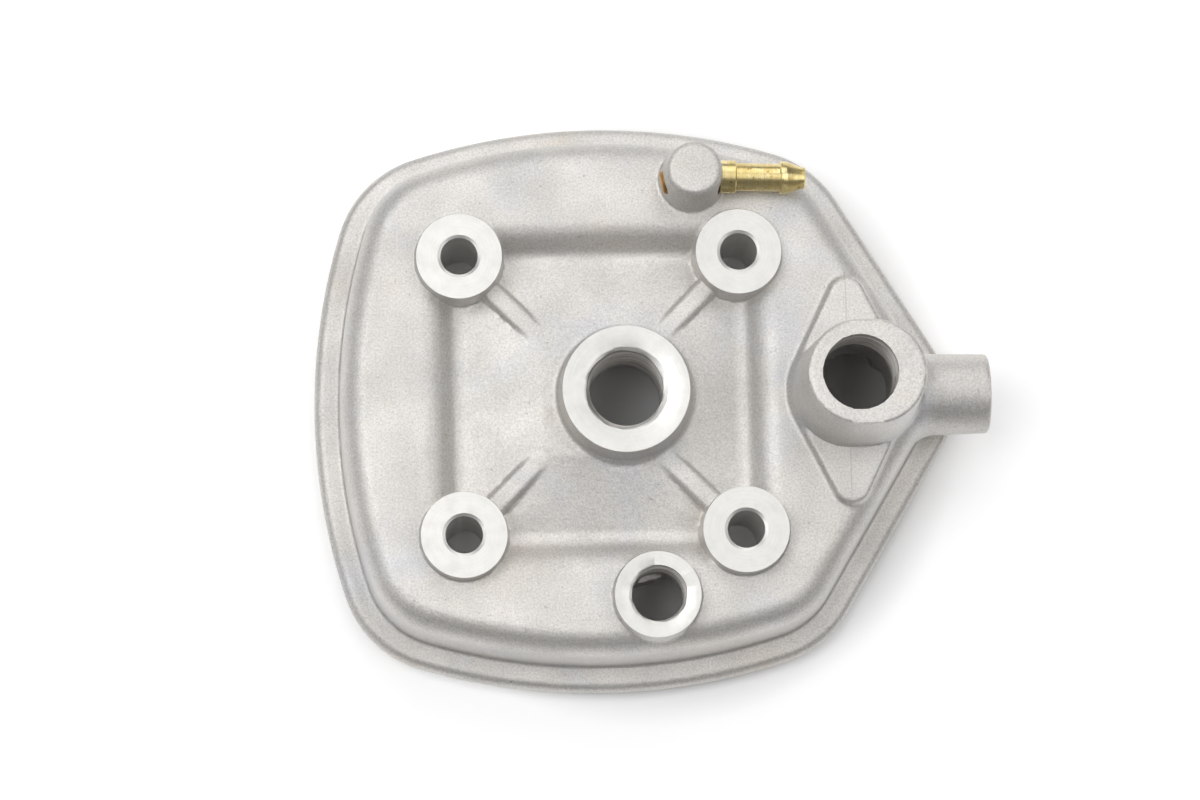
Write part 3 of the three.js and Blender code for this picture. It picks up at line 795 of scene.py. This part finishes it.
def blasted_aluminium():
    """Cast aluminium after bead blasting: an even frosted grain over a faintly uneven skin,
    with cloudy tone, pale edges, faint warm and cool stains and dark pits."""
    recipe = Recipe("blasted_aluminium")
    where = recipe.position()
    grain = recipe.noise(where, 0.36, 3.0, 0.7)
    speck = recipe.noise(where, 0.8, 2.0, 0.6)
    cloud = recipe.noise(where, 11, 3.0, 0.55)
    stain = recipe.noise(where, 17, 3.0, 0.6)
    line = parting_line(recipe)
    colour = recipe.ramp(cloud, (0.3, (0.69, 0.672, 0.645)), (0.7, (0.765, 0.742, 0.713)))
    colour = recipe.tint(colour, (0.76, 0.69, 0.60), stain, 0.56, 0.78, 0.5)
    colour = recipe.tint(colour, (0.66, 0.69, 0.75), stain, 0.46, 0.30, 0.5)
    colour = recipe.tint(colour, (0.40, 0.385, 0.37), grain, 0.56, 0.34, 0.42)
    colour = recipe.tint(colour, (0.93, 0.91, 0.88), grain, 0.54, 0.70, 0.35)
    colour = recipe.tint(colour, (0.28, 0.265, 0.25), speck, 0.68, 0.76, 0.5)
    colour = recipe.tint(colour, (0.36, 0.34, 0.32), line, 0, 1, 0.2)
    colour = recipe.tint(colour, (0.90, 0.875, 0.84), recipe.pointiness(), 0.50, 0.58, 0.35)
    recipe.bump(cloud, 0.12)
    recipe.bump(recipe.noise(where, 1.8), 0.06)
    recipe.bump(line, 0.025)
    recipe.bump(grain, 0.05)
    return recipe.finish(colour, recipe.remap(cloud, 0.3, 0.7, 0.60, 0.50), 0.85)


def parting_line(recipe):
    """1 on the mould's parting line, which runs over the pad on both sides of the tower."""
    split = recipe.add("SeparateXYZ")
    recipe.link(recipe.add("TexCoord").outputs["Object"], split.inputs[0])
    middle = (STUD_CENTRE_X + PARTING_X) * MM
    beside = recipe.calculate("ABSOLUTE", recipe.calculate("SUBTRACT", split.outputs["X"], middle))
    line = recipe.remap(beside, PARTING_CORE * MM, PARTING_EDGE * MM, 1, 0)
    along = recipe.calculate("ABSOLUTE", split.outputs["Y"])
    bounds = (
        (along, TOWER_FOOT_RADIUS + 0.1, TOWER_FOOT_RADIUS + 0.3),
        (along, PAD_TIP_OFFSET + PAD_TIP_RADIUS + 1.2, PAD_TIP_OFFSET + PAD_TIP_RADIUS + 0.9),
        (split.outputs["Z"], DOME_TOP - 0.3, DOME_TOP - 0.1),
    )
    for place, nothing, whole in bounds:
        inside = recipe.remap(place, nothing * MM, whole * MM, 0, 1)
        line = recipe.calculate("MULTIPLY", line, inside)
    return line


def turned_metal(name, dull, clean, roughness, ring_depth, ring_size=0.22, scuff=0.2, specks=0.0):
    """Bright metal with fine tool rings along its turning UVs, scuffed and stained in places, with a
    faint painted sheen in broad darker sweeps round the turn.
    """
    recipe = Recipe(name)
    where = recipe.position()
    rings = recipe.noise(recipe.turning((0.02, 1, 1)), ring_size, 2.0, 0.7)
    painted_sheen_sweep = recipe.noise(recipe.turning((1, 0.15, 1)), 7)
    scuffs = recipe.noise(where, 2.4, 4.0, 0.7)
    colour = recipe.ramp(scuffs, (0.32, dull), (0.62, clean))
    colour = recipe.tint(colour, dull, rings, 0.7, 0.3, scuff, "MULTIPLY")
    # painted sheen: broad darker sectors round the turn stand in for the turned face's anisotropic
    # reflection
    colour = recipe.tint(colour, dull, painted_sheen_sweep, 0.65, 0.35, 0.14, "MULTIPLY")
    dots = recipe.noise(where, 0.75, 1.0)
    colour = recipe.tint(colour, (0.20, 0.13, 0.045), dots, 0.66, 0.72, specks)
    recipe.bump(rings, ring_depth)
    recipe.bump(recipe.noise(where, 0.35), 0.01)
    sheen = recipe.remap(scuffs, 0.3, 0.7, roughness + 0.1, roughness - 0.05)
    return recipe.finish(colour, sheen, 1)


def hole_wall(name, dull, clean):
    """The wall of a hole, plain or tapped: painted highlights on its crests and edges and painted
    shade in its roots and creases, over a randomly dull and clean tone.
    """
    recipe = Recipe(name)
    grime = recipe.noise(recipe.position(), 1.6, 4.0, 0.7)
    streaks_and_painted_light = recipe.noise(recipe.turning((0.03, 1, 1)), 1.1, 3.0, 0.7)
    painted_light_bend = recipe.pointiness()
    colour = recipe.ramp(grime, (0.3, dull), (0.7, clean))
    # painted shade in the thread roots and painted glints on the crests, laid along the streaks
    colour = recipe.tint(colour, (0.15, 0.135, 0.125), streaks_and_painted_light, 0.50, 0.38, 0.7)
    colour = recipe.tint(colour, (0.95, 0.93, 0.90), streaks_and_painted_light, 0.52, 0.64, 0.8)
    # painted shade in creases and a painted highlight on edges, both from pointiness
    colour = recipe.tint(colour, (0.12, 0.11, 0.105), painted_light_bend, 0.50, 0.44, 0.6)
    colour = recipe.tint(colour, (0.95, 0.94, 0.92), painted_light_bend, 0.51, 0.56, 0.9)
    recipe.bump(streaks_and_painted_light, 0.04)
    return recipe.finish(colour, recipe.remap(grime, 0.3, 0.7, 0.36, 0.52), 0.8)


def dusty_rubber():
    recipe = Recipe("seal_rubber")
    where = recipe.position()
    dust = recipe.noise(where, 2.0, 4.0, 0.7)
    colour = recipe.ramp(dust, (0.35, (0.012, 0.012, 0.013)), (0.75, (0.035, 0.034, 0.032)))
    recipe.bump(recipe.noise(where, 0.3), 0.02)
    return recipe.finish(colour, recipe.remap(dust, 0.3, 0.7, 0.5, 0.75))


blasted = blasted_aluminium()
faced = turned_metal("turned_aluminium", (0.69, 0.683, 0.66), (0.74, 0.733, 0.708), 0.38, 0.008)
tapped = hole_wall("tapped_aluminium", (0.60, 0.57, 0.53), (0.82, 0.79, 0.74))
# painted shade: plain hole walls coloured near black to stand in for the shade down inside the holes
shade_darkened_drilled = hole_wall("drilled_aluminium_painted_shade", (0.12, 0.112, 0.105), (0.22, 0.207, 0.195))
nipple_look = {"ring_size": 0.3, "scuff": 0.5, "specks": 0.8}
brass = turned_metal("turned_brass", (0.74, 0.60, 0.27), (0.93, 0.83, 0.50), 0.27, 0.02, **nipple_look)
worn_brass = turned_metal("worn_brass", (0.45, 0.24, 0.07), (0.70, 0.45, 0.18), 0.4, 0.01)
rubber = dusty_rubber()


# ------------------------------------------------------------------ turned seats and threads
def line_hole(piece, centre, reach, top, finish):
    """Gives the faces within reach of the centre and below top the finish of the hole."""
    piece.data.materials.append(finish)
    middle = to_metres([(centre[0], centre[1], top)])[0]
    for face in piece.data.polygons:
        away = math.hypot(face.center[0] - middle[0], face.center[1] - middle[1])
        if away < reach * MM and face.center[2] < middle[2]:
            face.material_index = 1
    return piece


def seat(name, centre, top, outer, inner, chamfer):
    """A turned boss face with a chamfered hole below it down to the sealing face."""
    back = inner + SLEEVE_WALL
    mouth_low = top - chamfer * CHAMFER_SLOPE
    profile = [
        (back, 0),
        (inner, 0),
        (inner, mouth_low),
        (inner + chamfer, top),
        (outer - EDGE_BREAK, top),
        (outer, top - EDGE_BREAK),
        (outer, top - SEAT_DEPTH),
        (back, top - SEAT_DEPTH),
    ]
    radius, height = profile_grid(profile, SEAT_COLUMNS)
    piece = add_turned(name, radius, height, upright(centre), faced, SEAT_SHARP_ANGLE)
    # the plain hole under the seat takes the near-black painted-shade wall colour
    return line_hole(piece, centre, inner + LINING_MARGIN, mouth_low, shade_darkened_drilled)


def threaded(name, centre, top, outer, minor, pitch, low_z, mouth):
    """A sleeve whose hole is threaded: the rows of the thread climb with its helix and run out
    into the cone of the mouth chamfer and the plain bore below. A turned face as wide as
    outer lies round its mouth, unless outer is 0."""
    depth = THREAD_DEPTH * pitch
    turns = math.ceil((top - low_z) / pitch) + 1
    turn = np.arange(THREAD_COLUMNS + 1) / THREAD_COLUMNS
    row = np.arange(-THREAD_ROWS, turns * THREAD_ROWS + 1)[:, None] / THREAD_ROWS
    climb = np.clip(low_z + (row + turn) * pitch, low_z, top)
    phase = (climb - low_z) / pitch - turn
    wave = np.abs((phase % 1) - 0.5) * 2
    flank = np.clip((wave - THREAD_FLAT) / (1 - 2 * THREAD_FLAT), 0, 1)
    run_out = np.clip((climb - low_z) / pitch, 0, 1)
    cone = mouth - (top - climb) / CHAMFER_SLOPE
    inner = np.maximum(minor + depth * flank * run_out, cone)
    back = sleeve_radius(minor, pitch)
    rest = [(back, top), (back, low_z)]
    if outer:
        rest = [
            (outer - EDGE_BREAK, top),
            (outer, top - EDGE_BREAK),
            (outer, top - SEAT_DEPTH),
            (back, top - SEAT_DEPTH),
            (back, low_z),
        ]
    rest_radius, rest_height = profile_grid(rest, THREAD_COLUMNS)
    radius = np.concatenate([inner, rest_radius])
    height = np.concatenate([climb, rest_height])
    piece = add_turned(name, radius, height, upright(centre), faced, THREAD_SHARP_ANGLE)
    mouth_low = top - (mouth - minor) * CHAMFER_SLOPE
    return line_hole(piece, centre, back + LINING_MARGIN, mouth_low, tapped)


def out_of_bleed(yaw):
    """Places a piece turned about its own Z on a level axis out of the bleed boss."""

    def place(points):
        run, side, up = points[:, 2], points[:, 1], -points[:, 0]
        x = BLEED[0] + run * math.cos(yaw) - side * math.sin(yaw)
        y = BLEED[1] + run * math.sin(yaw) + side * math.cos(yaw)
        return np.stack([x, y, NIPPLE_Z + up], 1)

    return place


def bleed_nipple():
    """The brass nipple: a shank in the boss, a collar, a neck, a second collar and a cone."""
    bevelled = NIPPLE_COLLAR_RADIUS - 0.12
    profile = [
        (NIPPLE_BORE_RADIUS, 2.6),
        (NIPPLE_SHANK_RADIUS, 2.6),
        (NIPPLE_SHANK_RADIUS, 4.75),
        (bevelled, 4.75),
        (NIPPLE_COLLAR_RADIUS, 4.9),
        (NIPPLE_COLLAR_RADIUS, 7.3),
        (bevelled, 7.45),
        (NIPPLE_NECK_RADIUS, 7.5),
        (NIPPLE_NECK_RADIUS, 14.95),
        (bevelled, 15.0),
        (NIPPLE_COLLAR_RADIUS, 15.15),
        (NIPPLE_COLLAR_RADIUS, 16.1),
        (2.68, 16.4),
        (1.95, 18.6),
        (1.86, 19.2),
        (1.6, NIPPLE_TIP),
        (1.35, NIPPLE_TIP),
        (NIPPLE_BORE_RADIUS, NIPPLE_TIP - 0.4),
    ]
    radius, height = profile_grid(profile, NIPPLE_COLUMNS)
    placing = out_of_bleed(NIPPLE_YAW)
    return add_turned("bleed_nipple_turned", radius, height, placing, brass, BRASS_SHARP_ANGLE)


def bleed_plug():
    """The pressed brass plug, with a slightly domed face."""
    end = BLEED_BOSS_FOOT_RADIUS
    start = end - BLEED_PLUG_LENGTH
    wall = BLEED_DRILLING_RADIUS - 0.05
    core = 0.02
    profile = [
        (core, start),
        (wall, start),
        (wall, end - 0.35),
        (wall - 0.2, end - 0.12),
        (wall * 0.55, end - 0.03),
        (core, end),
    ]
    radius, height = profile_grid(profile, BLEED_PLUG_COLUMNS)
    placing = out_of_bleed(BLEED_PLUG_YAW)
    return add_turned("bleed_plug_pressed", radius, height, placing, worn_brass, BRASS_SHARP_ANGLE)


def chamber_ring():
    """A moulded ring of round section with its thin parting flash inside and outside."""
    half = SEAL_SECTION / 2
    turn = TAU * np.arange(RING_SIDES) / RING_SIDES
    flash = SEAL_CLEARANCE * np.exp(-((np.sin(turn) / FLASH_WIDTH) ** 2))
    reach = half - SEAL_CLEARANCE + flash
    profile = np.stack([CHAMBER_SEAL_RADIUS + reach * np.cos(turn), half + reach * np.sin(turn)], 1)
    radius, height = profile_grid(profile, RING_COLUMNS)
    placing = upright((0, 0))
    return add_turned("chamber_ring_moulded", radius, height, placing, rubber, RING_SHARP_ANGLE)


def outline_loop(inset):
    """Points on the outline at that inset, found by stepping towards it along rays."""
    turn = TAU * np.arange(LOOP_POINTS) / LOOP_POINTS
    reach = np.full(LOOP_POINTS, HALF_WIDTH)
    for _ in range(LOOP_STEPS):
        reach -= outline(reach * np.cos(turn), reach * np.sin(turn)) + inset
    return reach * np.cos(turn), reach * np.sin(turn)


def jacket_ring():
    """The moulded seal round the water jacket, its section between round and square."""
    half = SEAL_SECTION / 2
    reach = half - SEAL_CLEARANCE
    loops = []
    for angle in TAU * (np.arange(JACKET_SEAL_SIDES) + 0.5) / JACKET_SEAL_SIDES:
        cosine, sine = math.cos(angle), math.sin(angle)
        across = reach * math.copysign(abs(cosine) ** SECTION_SQUARENESS, cosine)
        up = reach * math.copysign(abs(sine) ** SECTION_SQUARENESS, sine)
        x, y = outline_loop(JACKET_SEAL_INSET - across)
        loops.append(np.stack([x, y, np.full_like(x, half + up)], 1))
    i, j = np.meshgrid(np.arange(JACKET_SEAL_SIDES), np.arange(LOOP_POINTS), indexing="ij")
    i, j = i.ravel(), j.ravel()
    after_i, after_j = (i + 1) % JACKET_SEAL_SIDES, (j + 1) % LOOP_POINTS
    faces = np.stack([i, i, after_i, after_i]) * LOOP_POINTS + np.stack([j, after_j, after_j, j])
    piece = add_mesh("jacket_seal_moulded", np.concatenate(loops), faces.T, JACKET_SEAL_SHARP_ANGLE)
    piece.data.materials.append(rubber)
    return piece


cast_pieces = [casting()]
stud_size = (STUD_BOSS_TOP, STUD_BOSS_RADIUS, STUD_HOLE_RADIUS, HOLE_CHAMFER)
for stud, corner in zip(STUDS, ("front_left", "back_left", "front_right", "back_right")):
    cast_pieces.append(seat(f"stud_seat_{corner}", stud, *stud_size))
plug_size = (PLUG_BOSS_RADIUS, PLUG_MINOR_RADIUS, PLUG_PITCH, PLUG_THREAD_LOW, PLUG_MOUTH_RADIUS)
cast_pieces.append(threaded("spark_plug_seat", PLUG, PLUG_BOSS_TOP, *plug_size))
sensor_size = (SENSOR_BOSS_RADIUS, SENSOR_MINOR_RADIUS, SENSOR_PITCH, SENSOR_THREAD_LOW)
sensor_size += (SENSOR_MOUTH_RADIUS,)
cast_pieces.append(threaded("sensor_seat", SENSOR, SENSOR_BOSS_TOP, *sensor_size))
outlet_size = (0, OUTLET_MINOR_RADIUS, PLUG_PITCH, OUTLET_THREAD_LOW, OUTLET_MINOR_RADIUS)
cast_pieces.append(threaded("outlet_thread", OUTLET, TOWER_TOP - OUTLET_LIP, *outlet_size))
nipple, plug = bleed_nipple(), bleed_plug()
chamber_seal, jacket_seal = chamber_ring(), jacket_ring()

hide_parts("head_casting")
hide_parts("bleed_nipple")
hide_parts("bleed_drilling_plug")
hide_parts("chamber_o_ring")
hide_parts("water_jacket_seal")
slots = {
    "cast_aluminium": cast_pieces,
    "brass": [nipple, plug],
    "seal_rubber": [chamber_seal, jacket_seal],
}
for slot, members in slots.items():
    for piece in members:
        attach(piece, "root")


# ------------------------------------------------------------------ floor, light and camera
def floor():
    """White paper under the head, lit a little from within beyond the head's own shadow."""
    mesh = bpy.data.meshes.new("floor")
    reach = FLOOR_REACH
    corners = [(-reach, -reach), (reach, -reach), (reach, reach), (-reach, reach)]
    mesh.from_pydata([(x, y, -FLOOR_GAP) for x, y in corners], [], [(0, 1, 2, 3)])
    piece = bpy.data.objects.new("floor", mesh)
    bpy.context.scene.collection.objects.link(piece)
    recipe = Recipe("floor_paper")
    tone = recipe.noise(recipe.position(), 60)
    colour = recipe.ramp(tone, (0.3, (0.96, 0.96, 0.96)), (0.7, (0.975, 0.975, 0.975)))
    recipe.link(colour, recipe.shader.inputs["Base Color"])
    recipe.shader.inputs["Roughness"].default_value = 0.9
    recipe.shader.inputs["Specular IOR Level"].default_value = 0.1
    middle = recipe.add("VectorMath", operation="LENGTH")
    recipe.link(recipe.add("TexCoord").outputs["Object"], middle.inputs[0])
    glow = recipe.remap(middle.outputs["Value"], GLOW_START, GLOW_FULL, 0, GLOW_STRENGTH)
    recipe.shader.inputs["Emission Color"].default_value = (1, 1, 1, 1)
    recipe.link(glow, recipe.shader.inputs["Emission Strength"])
    mesh.materials.append(recipe.material)


def softbox(name, azimuth, elevation, power, size):
    """A soft square light at that direction from the head, in degrees, facing the head."""
    turn, lift = math.radians(azimuth), math.radians(elevation)
    level = LIGHT_DISTANCE * math.cos(lift)
    place = (level * math.cos(turn), level * math.sin(turn), LIGHT_DISTANCE * math.sin(lift))
    light = bpy.data.lights.new(name, "AREA")
    light.size = size
    light.energy = power
    lamp = bpy.data.objects.new(name, light)
    lamp.location = place
    facing = Vector(place) - Vector(LIGHT_TARGET)
    lamp.rotation_euler = facing.to_track_quat("Z", "Y").to_euler()
    bpy.context.scene.collection.objects.link(lamp)


def studio():
    """An even, dim white surround, and colours shown without a film look."""
    world = bpy.data.worlds.new("studio")
    world.use_nodes = True
    background = world.node_tree.nodes["Background"]
    background.inputs["Color"].default_value = (1, 1, 1, 1)
    background.inputs["Strength"].default_value = WORLD_STRENGTH
    bpy.context.scene.world = world
    bpy.context.scene.view_settings.view_transform = "Standard"
    bpy.context.scene.view_settings.look = "None"


def camera():
    lens = bpy.data.cameras.new("camera")
    lens.lens = CAMERA_LENS
    lens.sensor_width = CAMERA_SENSOR
    lens.clip_end = CAMERA_CLIP_END
    view = bpy.data.objects.new("camera", lens)
    view.location = to_metres(CAMERA_PLACE)
    view.rotation_euler = Euler([math.radians(angle) for angle in CAMERA_TURN])
    bpy.context.scene.collection.objects.link(view)
    bpy.context.scene.camera = view


floor()
softbox("softbox_key", 165, 67, 4.9, 0.7)
softbox("softbox_right", 0, 64, 3.9, 0.9)
softbox("softbox_back", 85, 42, 3.9, 0.9)
softbox("softbox_low", 190, 38, 1.3, 0.7)
studio()
camera()
